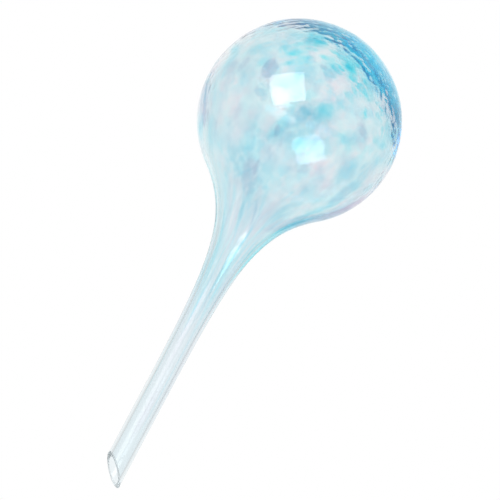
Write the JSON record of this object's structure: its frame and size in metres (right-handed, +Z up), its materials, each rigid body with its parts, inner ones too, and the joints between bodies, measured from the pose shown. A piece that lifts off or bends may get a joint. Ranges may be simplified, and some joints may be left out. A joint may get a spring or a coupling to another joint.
{
  "type": "watering globe",
  "caption": "Blown glass watering globe: a hollow ball on a long hollow stem with an oblique open tip, with coloured glass chips fused to its skin.",
  "frame": {"origin": "on the axis, at the height of the lowest point of the cut tip", "axes": "+Z up along the axis from the tip to the crown of the ball, as it stands in soil; the oblique cut of the tip faces -X"},
  "size_m": [0.08, 0.0799, 0.2],
  "materials": {
    "clear_glass": "gloss",
    "white_glass": "gloss",
    "sky_blue_glass": "gloss",
    "turquoise_glass": "gloss",
    "deep_blue_glass": "gloss",
    "lavender_glass": "gloss"
  },
  "bodies": {
    "root": {"bulb_glass": "clear_glass", "neck_glass": "clear_glass", "stem_glass": "clear_glass", "white_frit": "white_glass", "sky_blue_frit": "sky_blue_glass", "turquoise_frit": "turquoise_glass", "deep_blue_frit": "deep_blue_glass", "lavender_frit": "lavender_glass", "white_streaks": "white_glass", "sky_blue_streaks": "sky_blue_glass", "turquoise_streaks": "turquoise_glass"}
  },
  "joints": []
}
